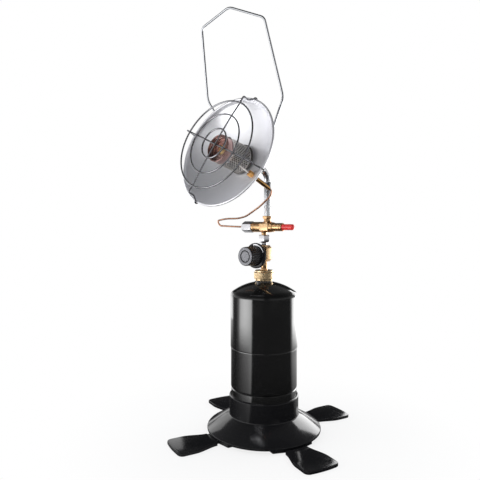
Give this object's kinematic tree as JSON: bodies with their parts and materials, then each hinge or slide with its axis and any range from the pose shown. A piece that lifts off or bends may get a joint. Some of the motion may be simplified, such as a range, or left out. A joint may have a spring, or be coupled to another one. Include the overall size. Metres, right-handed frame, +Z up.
{
  "type": "portable propane heater",
  "caption": "Portable radiant propane heater: a round reflector dish with a wire guard on a bent burner tube, above a disposable fuel cylinder standing in a footed base.",
  "frame": {"origin": "on the floor under the fuel cylinder's axis, at the centre of the four legs", "axes": "+Z up along the cylinder; the reflector, the burner and the knob face -Y; the safety button points along +X and the thermocouple nut along -X"},
  "size_m": [0.2838, 0.2838, 0.5752],
  "materials": {
    "base_black": "glossy moulded black plastic",
    "leg_black": "satin to glossy black moulded leg",
    "cylinder_enamel": "glossy black enamelled steel",
    "neck_steel": "dark painted steel thread boss",
    "brass": "turned brass, satin",
    "brass_bright": "knurled brass, bright",
    "seal_rubber": "black nitrile rubber",
    "knob_black": "fluted black plastic",
    "knob_grey": "light grey plastic inlay",
    "mark_white": "white printed mark",
    "steel": "plain steel",
    "nickel": "nickel plated",
    "button_red": "red moulded rubber button",
    "copper": "copper capillary, slightly browned",
    "tube_zinc": "zinc plated steel tube, satin",
    "dish_aluminium": "polished spun aluminium",
    "burner_steel": "heat-darkened perforated steel",
    "burner_copper": "heat-tinted copper-brown cup",
    "gauze": "golden stepped gauze disc",
    "guard_wire": "plated steel wire",
    "bail_wire": "plated steel wire",
    "probe_steel": "stainless probe rod"
  },
  "bodies": {
    "base": {"base_cup": "base_black"},
    "leg_1": {"leg_1": "leg_black"},
    "leg_2": {"leg_2": "leg_black"},
    "leg_3": {"leg_3": "leg_black"},
    "leg_4": {"leg_4": "leg_black"},
    "heater": {"cylinder_foot_ring": "cylinder_enamel", "cylinder_lower_shell": "cylinder_enamel", "cylinder_upper_shell": "cylinder_enamel", "cylinder_neck": "neck_steel", "cylinder_valve_core": "brass", "relief_valve": "steel", "coupling_seal": "seal_rubber", "inlet_stem": "brass", "inlet_filter": "gauze", "valve_body": "brass", "gland_nut": "brass", "spindle_o_ring": "seal_rubber", "outlet_neck": "nickel", "union_nut": "nickel", "safety_valve_body": "brass", "magnet_unit": "steel", "valve_disc": "seal_rubber", "safety_spring": "steel", "thermocouple_nut": "nickel", "thermocouple_lead": "copper", "thermocouple_sleeve": "brass", "sleeve_washer": "seal_rubber", "sleeve_nut": "brass", "thermocouple_probe": "probe_steel", "tube_lock_nut": "brass", "injector_jet": "brass", "burner_tube": "tube_zinc", "dish_back_nut": "nickel", "reflector_dish": "dish_aluminium", "burner_spacer": "burner_steel", "burner_back_flange": "burner_steel", "burner_barrel": "burner_steel", "burner_head": "burner_copper", "burner_screen": "gauze", "burner_rivets": "steel", "guard_outer_ring": "guard_wire", "guard_middle_ring": "guard_wire", "guard_inner_ring": "guard_wire", "guard_spoke_1": "guard_wire", "guard_spoke_2": "guard_wire", "bail_bracket": "tube_zinc"},
    "coupling_nut": {"coupling_nut": "brass_bright"},
    "knob": {"control_knob": "knob_black", "knob_ring": "knob_grey", "knob_cap": "knob_grey", "knob_scale": "mark_white", "knob_set_screw": "steel", "spindle": "steel"},
    "button": {"safety_button": "button_red", "safety_plunger": "steel"},
    "bail": {"bail_handle": "bail_wire"}
  },
  "joints": [
    {"name": "leg_1_slide", "type": "slide", "parent": "base", "child": "leg_1", "axis": [0.9397, -0.342, 0], "range_m": [0, 0.022]},
    {"name": "leg_2_slide", "type": "slide", "parent": "base", "child": "leg_2", "axis": [0.342, 0.9397, 0], "range_m": [0, 0.022]},
    {"name": "leg_3_slide", "type": "slide", "parent": "base", "child": "leg_3", "axis": [-0.9397, 0.342, 0], "range_m": [0, 0.022]},
    {"name": "leg_4_slide", "type": "slide", "parent": "base", "child": "leg_4", "axis": [-0.342, -0.9397, 0], "range_m": [0, 0.022]},
    {"name": "cylinder_turn", "type": "hinge", "parent": "base", "child": "heater", "pos_m": [0, 0, 0.0212], "axis": [0, 0, 1], "continuous": true},
    {"name": "coupling_nut_turn", "type": "hinge", "parent": "heater", "child": "coupling_nut", "pos_m": [0, 0, 0.2219], "axis": [0, 0, 1], "continuous": true},
    {"name": "knob_turn", "type": "hinge", "parent": "heater", "child": "knob", "pos_m": [0, -0.03, 0.2592], "axis": [0, -1, 0], "range_deg": [0, 270]},
    {"name": "safety_button_press", "type": "slide", "parent": "heater", "child": "button", "axis": [-1, 0, 0], "range_m": [0, 0.004], "stiffness_N_per_m": 900, "springref_m": -0.003, "deforming": ["safety_spring"]},
    {"name": "bail_swing", "type": "hinge", "parent": "heater", "child": "bail", "pos_m": [0.006, -0.03084, 0.38719], "axis": [-1, 0, 0], "range_deg": [0, 110]}
  ]
}
